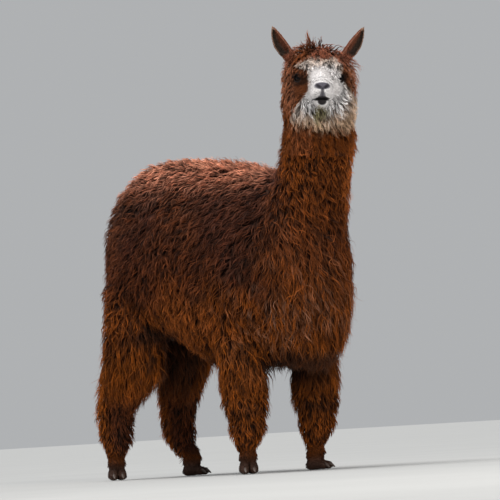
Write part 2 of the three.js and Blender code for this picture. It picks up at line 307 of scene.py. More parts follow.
def joined(parts):
    """Points and triangles of several closed shells as one pair of arrays."""
    starts = np.cumsum([0] + [len(points) for points, _ in parts])
    faces = [part[1] + start for part, start in zip(parts, starts)]
    return np.concatenate([points for points, _ in parts]), np.concatenate(faces)


def refine(points, faces, wanted):
    """Halves each edge whose two ends are wanted, and gives back points and triangles."""
    mesh = mesh_of("refine", points, faces)
    work = bmesh.new()
    work.from_mesh(mesh)
    work.verts.ensure_lookup_table()
    edges = [e for e in work.edges if wanted[e.verts[0].index] and wanted[e.verts[1].index]]
    bmesh.ops.subdivide_edges(work, edges=edges, cuts=1, use_grid_fill=True)
    work.to_mesh(mesh)
    work.free()
    result = arrays_of(mesh)
    bpy.data.meshes.remove(mesh)
    return result


# ---- Where the head and the feet are, from the frame's own nodes ----


def middle_of(node):
    low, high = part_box(node)
    return (np.array(low) + np.array(high)) / 2


class Place:
    """A part's own frame in millimetres: an origin, its X to the part's left, and Z up from it."""

    def __init__(self, origin, left):
        left = unit(left)
        self.back = unit(np.cross((0, 0, 1), left))
        self.turn = np.stack([left, self.back, np.cross(left, self.back)], -1)
        self.origin = origin

    def inside(self, points):
        return ((points - self.origin) @ self.turn / MM).astype(np.float32)

    def outside(self, points):
        return points * MM @ self.turn.T + self.origin

    def aim(self, directions):
        return directions @ self.turn.T


EYE_FORWARD = 4  # the eyes' centres, ahead of the head's origin
eye_left = middle_of("eye_left")
eye_right = middle_of("eye_right")
HEAD = Place((eye_left + eye_right) / 2, eye_left - eye_right)
HEAD.origin = HEAD.outside(np.array([0, EYE_FORWARD, 0]))
EYE_SIDE = np.linalg.norm(eye_left - eye_right) / 2 / MM
EYE_RADIUS = 16.0

LEGS = ("fore_left", "fore_right", "hind_left", "hind_right")
NAIL_AHEAD = 44  # the nails' middles, ahead of the foot's origin
FEET = {}
for leg in LEGS:
    nails = [middle_of(f"{leg}_nail_{side}") for side in ("left", "right")]
    foot = Place((nails[0] + nails[1]) / 2 * (1, 1, 0), (nails[0] - nails[1]) * (1, 1, 0))
    foot.origin = foot.outside(np.array([0, NAIL_AHEAD, 0]))
    FEET[leg] = foot

# ---- The head, in millimetres in its own frame ----

EYE = np.array([EYE_SIDE, -EYE_FORWARD, 0], np.float32)
GAZE = unit(np.array([0.68, -0.73, 0.06], np.float32))
GAZE_ACROSS = unit(np.cross(GAZE, [0, 0, 1]))
GAZE_UP = np.cross(GAZE_ACROSS, GAZE)
LID = 3.0  # thickness
LIDS_HALF_LENGTH = 15.5
LIDS_HALF_GAP = 10.5
LID_ARC_DROP = (LIDS_HALF_LENGTH**2 - LIDS_HALF_GAP**2) / (2 * LIDS_HALF_GAP)  # centre of each lid's arc
NOSTRIL = ((8, -131, -38), (21, -123, -28))
MOUTH_LEVEL = -70


def lid_gap(p):
    """Distance to the almond between the lids: two arcs that meet at its corners, swept along the gaze."""
    q = p - EYE
    across, up = q @ GAZE_ACROSS, q @ GAZE_UP
    reach = np.hypot(across, np.abs(up) + LID_ARC_DROP) - (LIDS_HALF_GAP + LID_ARC_DROP)
    return np.maximum(reach, 4 - q @ GAZE)


def mouth_level(x, y):
    """The height of the slit between the lips, which droops towards its corners."""
    return MOUTH_LEVEL - 0.004 * (x - 12) ** 2 + 0.05 * (y + 110)


def lips(p):
    """Below 1 on the bare lips: a band along the slit, and the lower lip's rounded middle."""
    x, y, z = p.T
    band = np.hypot(x / 24, (z - mouth_level(x, y)) / 8)
    return np.minimum(band, np.hypot(x / 14, (z - MOUTH_LEVEL + 8) / 11))


def face_field(p):
    """The face's flesh, mirrored: x is already positive."""
    return merge(
        ball(p, (0, 60, 16), (64, 82, 66)),
        (ball(p, (0, 4, 8), (50, 58, 42)), 22),
        (ball(p, (44, 2, 6), (24, 34, 30)), 16),
        (cone(p, (0, -12, -18), (0, -100, -45), 42, 28), 22),
        (ball(p, (0, -113, -37), (25, 16, 17)), 8),
        (ball(p, (14, -110, -55), (19, 18, 16)), 7),
        (cone(p, (0, -84, -72), (0, 24, -60), 19, 40), 16),
        (ball(p, (0, -98, -79), (20, 20, 14)), 9),
        (ball(p, (34, 34, -40), (30, 48, 50)), 26),
    )


def fleece_core(p):
    """What lies under the thick fleece of crown, cheeks and throat, which leads into the neck."""
    return merge(
        ball(p, (0, 66, 6), (86, 72, 86)),
        (ball(p, (0, 52, -62), (90, 58, 70)), 30),
        (cone(p, (0, 62, -60), (8, 72, -230), 82, 90), 40),
    )


def eyelids(p, d):
    """Lids over the eyeball with a fold above, and the almond opening between them."""
    q = p - EYE
    reach = np.linalg.norm(q, axis=-1)
    d = merge(d, (reach - (EYE_RADIUS + LID), 5))
    rim = lid_gap(p)
    front = smooth(q @ GAZE, 0, 8)
    d = d - 1.6 * ridge(rim - 2.5, 2.2) * front
    d = d + 1.5 * ridge(rim - 7.5, 2.0) * front * smooth(q @ GAZE_UP, -6, 4)
    d = np.maximum(d, -rim)
    return np.maximum(d, (EYE_RADIUS + 0.4) - reach)


def head_field(points):
    p = folded(points)
    x, y, z = p.T
    d = merge(face_field(p), (fleece_core(points), 18))
    front = smooth(y, -70, -100)
    nostril = cone(p, *NOSTRIL, 0, 0)
    d = d - 2.0 * ridge(nostril - 6, 3.0) * front
    d = d + 9.0 * ridge(nostril, 3.4)
    philtrum = np.hypot(x, np.maximum(0, np.abs(z + 53) - 11))
    d = d + 3.0 * ridge(philtrum, 2.2) * front
    mouth = z - mouth_level(x, y)
    d = d + 4.0 * ridge(mouth, 1.7) * smooth(y, -66, -92)
    d = d - 1.3 * ridge(mouth - 5, 3.4) * front
    return eyelids(p, d)


def bare_face(p):
    """Below zero on the short-haired face, rising to a distance from it in the fleece."""
    p = folded(p)
    d = merge(
        ball(p, (0, -98, -54), (47, 52, 44)),
        (ball(p, (0, -40, -6), (40, 40, 38)), 8),
        (ball(p, (48, -16, -22), (28, 42, 32)), 8),
        (ball(p, (34, -50, -42), (24, 36, 34)), 8),
    )
    return np.minimum(d, ball(p, EYE, 29))


HEAD_BOX = ((-112, -142, -232), (112, 170, 106))
HEAD_STEP = 2.8


def head_shell():
    points, quads = net(head_field, *HEAD_BOX, HEAD_STEP)
    points, faces = refine(points, quads, bare_face(points) < 4)
    return settle(head_field, points), faces


# ---- An ear, in the head's frame ----

EAR_ROOT = np.array([88, 52, 76], np.float32)
EAR_TIP = np.array([137, 36, 159], np.float32)
EAR_LENGTH = np.linalg.norm(EAR_TIP - EAR_ROOT)
EAR_AXIS = unit(EAR_TIP - EAR_ROOT)
EAR_FACING = np.array([0.5, -1, 0.1], np.float32)
EAR_FACING = unit(EAR_FACING - EAR_AXIS * (EAR_FACING @ EAR_AXIS))
EAR_ACROSS = np.cross(EAR_AXIS, EAR_FACING)
EAR_BELOW = 0.35  # how far the ear runs on below its root, in lengths
EAR_STATIONS = (-EAR_BELOW, -0.1, 0.15, 0.4, 0.62, 0.8, 0.92, 1.0)
EAR_HALF_WIDTHS = (12, 17, 20, 20, 16.5, 11, 6, 1.5)
EAR_WALL = 3.4
EAR_THICKNESS = 0.66  # across the section, to its half width
EAR_BOX = ((48, 10, 30), (158, 84, 166))
EAR_STEP = 1.7


def ear_axes(p):
    """How far along the ear, across it, and out of its hollow a point is."""
    q = p - EAR_ROOT
    along = (q @ EAR_AXIS) / EAR_LENGTH
    bend = 5 * np.sin(np.pi * np.clip(along, 0, 1))
    return along, q @ EAR_ACROSS - bend, q @ EAR_FACING


def in_hollow(out, half):
    """0 along the axis of the ear's hollow, and 1 or -1 at its wall."""
    return (out - 0.62 * half) / (0.98 * half)


def ear_field(p):
    along, across, out = ear_axes(p)
    half = np.interp(along, EAR_STATIONS, EAR_HALF_WIDTHS).astype(np.float32)
    thick = EAR_THICKNESS * half
    outer = (np.hypot(across / half, out / thick) - 1) * thick
    ends = np.maximum(along - 1, -EAR_BELOW - along) * EAR_LENGTH
    reach = smooth(along, 0.02, 0.2) * smooth(along, 0.97, 0.80)  # the hollow ends short of the tip
    inner_half = np.maximum(half - EAR_WALL, 0.4) * reach + 0.01
    inner = (np.hypot(across / inner_half, in_hollow(out, half)) - 1) * inner_half * 0.8
    inner = np.maximum(inner, (0.03 - along) * EAR_LENGTH)
    return np.maximum(np.maximum(outer, ends), -inner)


def ear_shell():
    points, quads = net(ear_field, *EAR_BOX, EAR_STEP)
    edges = edges_of(quads)
    return relax(points, edges, 2, 0.4), triangles_of(quads)


# ---- A foot, in millimetres in its own frame ----

FOOT_BOX = ((-42, -62, -6), (42, 46, 104))
FOOT_STEP = 2.4
SOLE = 0.6  # the soles' height above the floor


def foot_field(points):
    """A short-haired pastern and two padded toes, flat underneath."""
    p = folded(points)
    x, y, z = p.T
    toe = cone(p, (11, 8, 20), (13.5, -33, 13), 16, 11.5)
    toe = merge(toe, (ball(p, (12, 12, 14), (14, 19, 14)), 8))
    pastern = cone(p, (0, 6, 76), (0, 0, 56), 20, 22)
    d = merge(pastern, (ball(p, (0, 6, 40), (23, 26, 30)), 12), (toe, 9))
    d = d + 5 * ridge(x, 2.6) * smooth(y, 6, -14) * smooth(z, 44, 26)
    d = d - 1.2 * ridge(z - 50 + 0.3 * y, 5) + 0.9 * ridge(z - 42 + 0.3 * y, 3)
    return -merge(-d, (z - SOLE, 3))


def foot_shell():
    points, quads = net(foot_field, *FOOT_BOX, FOOT_STEP)
    return settle(foot_field, points), triangles_of(quads)


# ---- The body: the frame's own outline, drawn in by the coat's depth ----

UPPER = {"fore": "forearm", "hind": "thigh"}
LEG_NODES = [f"{leg}_{UPPER[leg[:4]]}" for leg in LEGS] + [f"{leg}_cannon" for leg in LEGS]
BODY_NODES = ["trunk", "neck", "tail"] + LEG_NODES
FLESH_NODES = BODY_NODES + ["head", "ear_left", "ear_right"] + [f"{leg}_foot" for leg in LEGS]
GAP_FILL = 1.4 * MM  # closes the thin cuts between the nodes
VOXEL = 8 * MM


def remeshed(nodes, rounds):
    """One closed skin round several nodes, with its facets smoothed away."""
    parts = []
    for node in nodes:
        points, faces = arrays_of(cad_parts[node].data)
        parts.append((points + point_normals(points, faces) * GAP_FILL, faces))
    points, faces = joined(parts)
    mesh = mesh_of("shell", points, faces)
    shell = placed("shell", mesh)
    modifier = shell.modifiers.new("remesh", "REMESH")
    modifier.mode = "VOXEL"
    modifier.voxel_size = VOXEL
    done = shell.evaluated_get(bpy.context.evaluated_depsgraph_get()).to_mesh()
    points, faces = arrays_of(done)
    bpy.data.objects.remove(shell)
    bpy.data.meshes.remove(mesh)
    return relax(points, edges_of(faces), rounds), faces


def coat_depth(points):
    """How thick the fleece is, in metres."""
    _, y, z = points.T
    legs = mix(6, 17, smooth(z, 0.085, 0.17))
    body = mix(legs, 25, smooth(z, 0.26, 0.46))
    neck = smooth(z, 0.84, 0.96) * smooth(y, -0.16, -0.26)
    body = mix(body, 21, neck)
    body = body + 16 * smooth(z, 0.995, 1.04)
    low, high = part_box("tail")
    tail = smooth(y, high.y - 0.05, high.y - 0.02) * smooth(z, low.z - 0.01, low.z + 0.02)
    return mix(body, 13, tail) * MM


DRAW_IN_STEPS = 4


def body_shell():
    """The body's skin, drawn in a little at a time so that it stays smooth."""
    points, faces = remeshed(BODY_NODES, 14)
    edges = edges_of(faces)
    for _ in range(DRAW_IN_STEPS):
        points = points - point_normals(points, faces) * (coat_depth(points) / DRAW_IN_STEPS)[:, None]
        points = relax(points, edges, 2)
    return points, faces


HEAD_ISLAND, EAR_ISLAND, FOOT_ISLAND, BODY_ISLAND = range(4)


def whole_skin():
    """All the shells, in metres, with the island that each point belongs to."""
    head_points, head_faces = head_shell()
    ear_points, ear_faces = ear_shell()
    foot_points, foot_faces = foot_shell()
    parts = [
        (HEAD.outside(head_points), head_faces),
        (HEAD.outside(ear_points), ear_faces),
        (HEAD.outside(ear_points * (RIGHT, 1, 1)), ear_faces[:, ::-1]),
        *[(foot.outside(foot_points), foot_faces) for foot in FEET.values()],
        body_shell(),
    ]
    islands = [HEAD_ISLAND, EAR_ISLAND, EAR_ISLAND] + [FOOT_ISLAND] * len(FEET) + [BODY_ISLAND]
    belongs = np.repeat(islands, [len(part[0]) for part in parts])
    points, faces = joined(parts)
    return points.astype(np.float32), faces, belongs


skin_points, skin_faces, skin_island = whole_skin()
skin_normals = point_normals(skin_points, skin_faces)
skin_in_head = HEAD.inside(skin_points)
skin_bare = bare_face(skin_in_head)

# ---- Markings: one set for skin and coat ----


def srgb(*values):
    """A linear colour from 8-bit sRGB values."""
    v = np.array(values, np.float32) / 255
    return np.where(v <= 0.04045, v / 12.92, ((v + 0.055) / 1.055) ** 2.4).astype(np.float32)


CHESTNUT = srgb(104, 52, 12)
RUST = srgb(102, 51, 7)
DEEP_BROWN = srgb(60, 28, 17)
# painted shade: the dark of folds, creases and the legs' inner sides under the belly
DEEP_SHADE = srgb(30, 15, 9)
# painted highlight: the top of the back, lit from the sky
LIT_BACK_TOP = srgb(142, 84, 62)
# painted light: golden backlit fuzz along the backs of the hind legs
BACKLIT_LEG_GOLD = srgb(150, 84, 40)
SUNLIT = srgb(142, 78, 34)
WHITE = srgb(252, 248, 247)
CREAM = srgb(192, 162, 134)
DULL_WHITE = srgb(206, 192, 182)
EYE_PATCH = srgb(122, 66, 32)
EYE_CORNER = srgb(28, 18, 14)
NOSE_GREY = srgb(78, 74, 82)
NOSE_BLACK = srgb(14, 11, 12)
LIP = srgb(36, 31, 33)
CUD_STAIN = srgb(164, 152, 88)
FROSTED = srgb(158, 102, 74)
CROWN = srgb(134, 78, 56)
EAR_INSIDE = srgb(58, 46, 38)
EAR_RIM = srgb(176, 138, 116)
FOOT_HAIR = srgb(66, 44, 34)
IRIS = srgb(34, 22, 16)
IRIS_EDGE = srgb(10, 7, 6)
IRIS_STREAK = srgb(58, 38, 24)
PUPIL = srgb(3, 3, 5)
HORN = srgb(66, 52, 44)


def paint(colours, *layers):
    """The colours with layers over them, each a colour and its share at every point."""
    for colour, share in layers:
        colours = colours + (colour - colours) * np.clip(share, 0, 1)[:, None]
    return colours


KNEE = 0.195  # where the forearms' thick fleece ends in a fold
HIND = 0.1  # what lies behind this in Y belongs to the hind legs


def body_markings(points):
    """Painted highlight along the top of the back, deep brown on the flanks, rust low down, and painted shade
    and light in the folds and on the legs.
    """
    x, y, z = points.T
    side = np.abs(x)
    warp = noise(points, 0.09, 1)
    flank = smooth(z + 0.04 * warp, 0.50, 0.62) * smooth(y + 0.04 * warp, -0.38, -0.23)
    throat = smooth(x, -0.02, 0.06) * smooth(y, -0.26, -0.34) * smooth(z, 0.72, 0.86)
    low_flank = ridge(np.hypot((y - 0.08) / 0.14, (z - 0.50) / 0.07)) * smooth(side, 0.05, 0.12)
    # painted shadow where the belly's skirt overhangs the hind thighs
    groin_shadow = ridge(np.hypot((y - 0.24) / 0.10, (z - 0.44) / 0.03)) * smooth(side, 0.03, 0.07)
    # knee: painted shade in the crease where the forearms' fleece folds
    knee = ridge(z - KNEE - 0.012 * warp, 0.013) * smooth(y, 0, -0.1)
    belly = np.where(y > HIND, 0.44, 0.37)
    # inner: painted shade on the legs' inner sides, under the belly
    inner = smooth(side, 0.12, 0.07) * smooth(z, belly + 0.02, belly - 0.02) * smooth(z, 0.20, 0.34)
    shin = np.where(x > 0, middle_of("hind_left_cannon")[1], middle_of("hind_right_cannon")[1])
    ahead = (shin - y) * smooth(z, 0.06, 0.12)
    # behind: where painted light falls, down the backs of the hind legs
    behind = smooth(ahead, -0.02, -0.06) * smooth(z, 0.5, 0.4) * smooth(z, 0.1, 0.2)
    colours = paint(
        np.broadcast_to(CHESTNUT, points.shape),
        (DEEP_BROWN, flank * (0.8 + 0.2 * warp)),
        # painted highlight along the top of the back
        (LIT_BACK_TOP, smooth(z + 0.02 * warp, 0.84, 0.94) * smooth(y, -0.315, -0.175)),
        (RUST, 0.8 * smooth(z + 0.03 * warp, 0.46, 0.36) * smooth(z, 0.08, 0.2)),
        (SUNLIT, 0.6 * throat),
        (SUNLIT, 0.35 * low_flank),
        (DEEP_BROWN, 0.45 * ridge(np.hypot((y + 0.44) / 0.16, (z - 0.70 + 0.06 * warp) / 0.12))),
        # painted shade in the groin fold and the knee crease
        (DEEP_SHADE, np.maximum(0.9 * groin_shadow, 0.65 * knee)),
        # painted shade on the legs' inner sides, under the belly
        (DEEP_SHADE, 0.8 * inner),
        # painted shade on the fronts of the hind legs, below the thighs
        (DEEP_BROWN, 0.7 * (y > HIND) * smooth(ahead, -0.005, 0.02) * smooth(z, 0.32, 0.2)),
        # painted light: golden backlit fuzz along the backs of the hind legs
        (BACKLIT_LEG_GOLD, 0.7 * (y > HIND) * behind),
        (FOOT_HAIR, smooth(z + 0.015 * warp, 0.07, 0.025)),
    )
    return colours * (1 + 0.20 * noise(points, 0.06, 2) + 0.14 * noise(points, 0.02, 3))[:, None]


# The white's edges on the animal's right and left at these levels.
WHITE_LEVELS = (-200, -168, -130, -92, -60, -40, 8, 22, 28, 50, 62, 84)
WHITE_RIGHT = (-30, -72, -88, -76, -48, -36, -29, -36, -60, -68, -40, -16)
WHITE_LEFT = (10, 70, 116, 130, 130, 112, 62, 66, 68, 66, 50, 34)


def head_markings(points):
    """White face and fringe, brown crown and right eye patch, cud-stained chin."""
    p = HEAD.inside(points)
    grizzle = 9 * smooth(p[:, 2], -50, -90)[:, None]
    p = p + 4 * stack(*[noise(p, 22, seed) for seed in (4, 5, 6)])
    p = p + grizzle * stack(*[noise(p, 5, seed) for seed in (14, 15, 16)])
    x, y, z = p.T
    side = np.abs(x)
    socket = np.hypot((side - EYE[0]) / 30, z / 20)
    corner = np.hypot((x - 80) / 9, (z - 2) / 24)
    right = np.interp(z, WHITE_LEVELS, WHITE_RIGHT)
    left = np.interp(z, WHITE_LEVELS, WHITE_LEFT)
    level = smooth(z + 0.25 * np.minimum(x, 0), -168, -134) * smooth(z, 72, 50) * smooth(y, 78, 46)
    white = smooth(x, right - 5, right + 5) * smooth(x, left + 6, left - 6) * level
    muzzle = np.hypot((x - 10) / 76, (z + 42) / 80)
    stain = np.hypot(x / 26, (z + 112) / 20)
    return paint(
        body_markings(points),
        (CROWN, smooth(z, 20, 60)),
        (EYE_PATCH, smooth(x, -20, -30) * smooth(x, -96, -80) * smooth(y, 46, 20)),
        (EYE_CORNER, smooth(socket, 1.25, 0.7) * np.where(x < 0, 0.75, 0.5)),
        (FROSTED, 0.6 * smooth(side, 62, 80) * smooth(z, -125, -70) * smooth(z, 60, 30)),
        (EYE_CORNER, 0.8 * smooth(corner, 1.3, 0.6) * smooth(y, 40, 10)),
        (CREAM, white),
        (DULL_WHITE, white * smooth(z - 0.2 * x, -132, -88) * smooth(y, 30, -6)),
        (WHITE, white * smooth(muzzle, 1.2, 0.9) * smooth(y, 30, 0)),
        (CUD_STAIN, 0.85 * smooth(stain, 1.2, 0.6) * smooth(y, 0, -30)),
    )


def bare_markings(points, colours):
    """Nostrils, nose, lips and lids, which are bare skin."""
    p = HEAD.inside(points)
    wide = folded(p)
    x, y, z = p.T
    front = smooth(y, -96, -112)
    pad = np.hypot(x / 24, (z + 32) / 11)
    groove = np.hypot(x / (5 + 0.3 * np.maximum(-50 - z, 0)), np.maximum(np.abs(z + 54) - 14, 0) / 6)
    above_lips = np.hypot((x + 5) / 24, (z - MOUTH_LEVEL - 9) / 14)
    mouth = z - mouth_level(wide[:, 0], y)
    rim = lid_gap(wide)
    near = smooth(np.linalg.norm(wide - EYE, axis=-1), 30, 24)
    return paint(
        colours,
        (NOSE_GREY, smooth(pad, 1.25, 0.85) * smooth(y, -112, -120)),
        (NOSE_GREY, 0.85 * smooth(groove, 1.4, 0.6) * front),
        (NOSE_GREY, 0.65 * smooth(above_lips, 1.3, 0.5) * front),
        (LIP, smooth(lips(wide), 1.2, 0.75) * smooth(y, -84, -100)),
        (NOSE_BLACK, ridge(mouth, 3.0) * smooth(y, -48, -62)),
        (NOSE_BLACK, smooth(cone(wide, *NOSTRIL, 0, 0), 5, 2.5)),
        (EYE_CORNER, 0.85 * smooth(rim, 9, 3) * near),
        (NOSE_BLACK, smooth(rim, 2.6, 0.8) * near),
    )


def ear_markings(points):
    """An ear: dark in its hollow, pale along its rim and brown behind."""
    p = folded(HEAD.inside(points))
    along, across, out = ear_axes(p)
    half = np.interp(along, EAR_STATIONS, EAR_HALF_WIDTHS)
    hollow = np.hypot(across / (half - 2.5), in_hollow(out, half))
    dark = np.hypot((across - 0.2 * half) / (0.8 * half), in_hollow(out, half))
    rim = smooth(out, 0.14 * half, 0.34 * half) * smooth(hollow, 0.93, 1.05)
    rim *= mix(0.35, 1, smooth(across / half, -0.5, 0.1))
    colours = paint(
        np.broadcast_to(CROWN, p.shape),
        (EAR_INSIDE, smooth(dark, 1.15, 0.9) * smooth(along, 0, 0.1)),
        (EAR_RIM, np.maximum(rim, smooth(along, 0.86, 0.97))),
    )
    return colours * (1 + 0.15 * noise(p, 5, 7))[:, None]


def eye_markings(p):
    """A brown iris with pale streaks and a dark edge, round the level slit of a pupil."""
    x, y, z = p.T
    iris = np.hypot(x, y)
    streak = 0.5 + 0.5 * np.sin(9 * np.arctan2(y, x) + 4 * noise(p, 2.5, 8))
    return paint(
        np.broadcast_to(IRIS, p.shape),
        (IRIS_EDGE, smooth(iris, 9.2, 10.6)),
        (IRIS_STREAK, 0.5 * streak * smooth(iris, 10, 7)),
        (PUPIL, smooth(np.hypot(x / 7.5, y / 4.6), 1.2, 0.9) * (z > 0)),
    )


HEAD_FROM = 0.95  # above this height the head's markings run on into the neck


def markings(points, island):
    """The colours of any points, given the island that each belongs to."""
    colours = body_markings(points)
    on_ear = island == EAR_ISLAND
    on_head = (island == HEAD_ISLAND) | ((island == BODY_ISLAND) & (points[:, 2] > HEAD_FROM))
    colours[on_head] = head_markings(points[on_head])
    colours[on_ear] = ear_markings(points[on_ear])
    return colours


# ---- Materials ----


def set_inputs(node, **values):
    """Values for a node's inputs, whose names are written with _ for a space."""
    for name, value in values.items():
        node.inputs[name.replace("_", " ")].default_value = value


def add_node(tree, kind, **values):
    node = tree.nodes.new("ShaderNode" + kind)
    set_inputs(node, **values)
    return node


def add_noise(tree, scale, detail):
    """A noise texture over the object's own coordinates, which are metres."""
    node = add_node(tree, "TexNoise", Scale=scale, Detail=detail)
    tree.links.new(add_node(tree, "TexCoord").outputs["Object"], node.inputs["Vector"])
    return node.outputs["Fac"]


def add_grey(tree, scale, detail, low, high):
    """Noise as a grey between two values."""
    node = add_node(tree, "MapRange", From_Min=0.3, From_Max=0.7, To_Min=low, To_Max=high)
    tree.links.new(add_noise(tree, scale, detail), node.inputs["Value"])
    return node.outputs["Result"]


def material_of(name, mottle, bump=None, rough=None, plain=None, **values):
    """A material of a plain colour, or of the piece's own tones, under a mottle.

    mottle and rough are a noise's scale and detail and the range it gives; bump is a noise's scale and
    detail, its strength and its depth.
    """
    material = bpy.data.materials.new(name)
    material.use_nodes = True
    tree = material.node_tree
    principled = tree.nodes["Principled BSDF"]
    set_inputs(principled, **values)
    if plain:
        colour = add_node(tree, "RGB").outputs["Color"]
        colour.default_value = plain
    else:
        tones = add_node(tree, "Attribute")
        tones.attribute_name = "tone"
        colour = tones.outputs["Color"]
    shade = add_node(tree, "VectorMath")
    shade.operation = "SCALE"
    tree.links.new(colour, shade.inputs[0])
    tree.links.new(add_grey(tree, *mottle), shade.inputs["Scale"])
    tree.links.new(shade.outputs["Vector"], principled.inputs["Base Color"])
    if bump:
        scale, detail, strength, depth = bump
        relief = add_node(tree, "Bump", Strength=strength, Distance=depth)
        tree.links.new(add_noise(tree, scale, detail), relief.inputs["Height"])
        tree.links.new(relief.outputs["Normal"], principled.inputs["Normal"])
    if rough:
        tree.links.new(add_grey(tree, *rough), principled.inputs["Roughness"])
    return material


# Alpaca wool: the lock's own tone, mottled fibre by fibre, with a soft sheen.
WOOL = material_of(
    "wool",
    mottle=(420, 3, 0.72, 1.28),
    bump=(1500, 2, 0.5, 0.0006),
    rough=(1500, 2, 0.55, 0.8),
    Sheen_Weight=0.06,
    Sheen_Tint=(0.8, 0.45, 0.28, 1),
    Specular_IOR_Level=0.15,
)
# Skin under the coat, and the short flat hair of face and feet as fine bump.
SKIN = material_of(
    "skin",
    mottle=(260, 4, 0.82, 1.18),
    bump=(900, 3, 0.6, 0.0012),
    rough=(900, 3, 0.45, 0.75),
    Specular_IOR_Level=0.2,
)
WET_EYE = material_of(
    "eye",
    mottle=(1100, 3, 0.7, 1.4),
    Roughness=0.3,
    Coat_Weight=0.12,
    Coat_Roughness=0.02,
    Specular_IOR_Level=0.05,
)
STREAKED_HORN = material_of(
    "horn", mottle=(700, 4, 0.6, 1.5), bump=(700, 4, 0.3, 0.0011), rough=(300, 2, 0.35, 0.6)
)


def piece_of(name, material, points, faces, colours):
    """A finished piece that rides with the body, with a tone at each point."""
    mesh = mesh_of(name, points, faces)
    layer = mesh.attributes.new("tone", "FLOAT_COLOR", "POINT")
    opaque = np.concatenate([colours, np.ones((len(colours), 1))], -1)
    layer.data.foreach_set("color", opaque.astype(np.float32).ravel())
    mesh.materials.append(material)
    piece = placed(name, mesh)
    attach(piece, "root")
    return piece


UNDER_WOOL = 0.35  # what the fleece's shade leaves of the skin's tone


def add_skin():
    colours = markings(skin_points, skin_island)
    on_head = skin_island == HEAD_ISLAND
    colours[on_head] = bare_markings(skin_points[on_head], colours[on_head])
    wooled = np.where(on_head, smooth(skin_bare, -2, 8), skin_island == BODY_ISLAND)
    colours *= mix(1, UNDER_WOOL, wooled)[:, None]
    skin = piece_of("skin", SKIN, skin_points, skin_faces, colours)
    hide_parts(*FLESH_NODES)


add_skin()

# ---- Eyes and nails ----

EYE_RINGS, EYE_AROUND = 38, 64
NAIL_RINGS, NAIL_AROUND = 12, 16


def tube(rings, around):
    """The numbers of the points in a stack of rings, and the triangles between the rings."""
    here = np.arange(rings * around).reshape(rings, around)
    beside = np.roll(here, -1, 1)
    quads = np.stack([here[:-1], beside[:-1], beside[1:], here[1:]], -1)
    return here, triangles_of(quads.reshape(-1, 4))


def turns(around):
    return np.linspace(0, 2 * np.pi, around, endpoint=False)


def eye_shell():
    """An eyeball that bulges at its cornea, along its own Z."""
    polar = np.linspace(0, np.pi, EYE_RINGS + 2)[1:-1, None]
    radius = EYE_RADIUS - 0.4 + 1.3 * ridge(polar, 0.55)
    out = np.sin(polar) * radius
    points = stack(out * np.cos(turns(EYE_AROUND)), out * np.sin(turns(EYE_AROUND)), np.cos(polar) * radius)
    poles = np.array([[0, 0, EYE_RADIUS + 0.9], [0, 0, 0.4 - EYE_RADIUS]])
    rings, faces = tube(EYE_RINGS, EYE_AROUND)
    front = stack(rings.size, np.roll(rings[0], -1), rings[0])
    back = stack(rings.size + 1, rings[-1], np.roll(rings[-1], -1))
    return np.concatenate([points.reshape(-1, 3), poles]), np.concatenate([faces, front, back])


def add_eyes():
    points, faces = eye_shell()
    for name, side in (("eye_left", LEFT), ("eye_right", RIGHT)):
        mirror = np.array([side, 1, 1])
        world = points @ np.stack([GAZE_ACROSS * mirror, GAZE_UP, GAZE * mirror]) + EYE * mirror
        outward = faces if side == LEFT else faces[:, ::-1]
        eye = piece_of(name + "_ball", WET_EYE, HEAD.outside(world), outward, eye_markings(points))
        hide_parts(name)


def nail_shell(side):
    """One claw in its foot's frame, from the toe down to the tip."""
    t = np.linspace(0, 1, NAIL_RINGS)[:, None]
    turn = turns(NAIL_AROUND)
    half = 6.4 * np.sqrt(np.maximum(1 - t**2.2, 0.02))
    tall = 7.0 * np.sqrt(np.maximum(1 - t**2.0, 0.02)) * np.where(np.sin(turn) < 0, 0.7, 1)
    x = side * (13.2 + 0.6 * t) + half * np.cos(turn)
    z = 19 - 5 * t - 7.5 * t**2 + tall * np.sin(turn)
    points = stack(x, -30 - 27 * t, np.maximum(z, SOLE + 0.2)).reshape(-1, 3)
    rings, faces = tube(NAIL_RINGS, NAIL_AROUND)
    fan = stack(0, np.arange(1, NAIL_AROUND - 1), np.arange(2, NAIL_AROUND))
    return points, np.concatenate([faces, rings[0][fan[:, ::-1]], rings[-1][fan]])


def add_nails():
    """Long dark claws that curve down over the ends of the toes, paler towards their tips."""
    parts = []
    for foot in FEET.values():
        for side in (LEFT, RIGHT):
            points, faces = nail_shell(side)
            parts.append((foot.outside(points), faces))
    points, faces = joined(parts)
    paler = np.tile(np.repeat(np.linspace(0.7, 1.35, NAIL_RINGS), NAIL_AROUND), len(parts))
    nails = piece_of("nails", STREAKED_HORN, points, faces, HORN * paler[:, None])
    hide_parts(*[f"{leg}_nail_{side}" for leg in LEGS for side in ("left", "right")])


add_eyes()
add_nails()

# ---- Coat: roots ----

LEAST_DEPTH = 3 * MM
DEPTH_REACH = 0.06


def outline_tree():
    """The whole outline, out to the tips of the coat, to measure the coat's depth against."""
    points, faces = remeshed(FLESH_NODES, 2)
    return BVHTree.FromPolygons(points.tolist(), faces.tolist())


def depths_at(roots, normals, tree):
    """How far each root lies under the outline, in metres."""
    found = np.full(len(roots), LEAST_DEPTH)
    for index, (root, normal) in enumerate(zip(roots.tolist(), normals.tolist())):
        distance = tree.ray_cast(Vector(root), Vector(normal), DEPTH_REACH)[3]
        if distance is not None:
            found[index] = distance
    return found


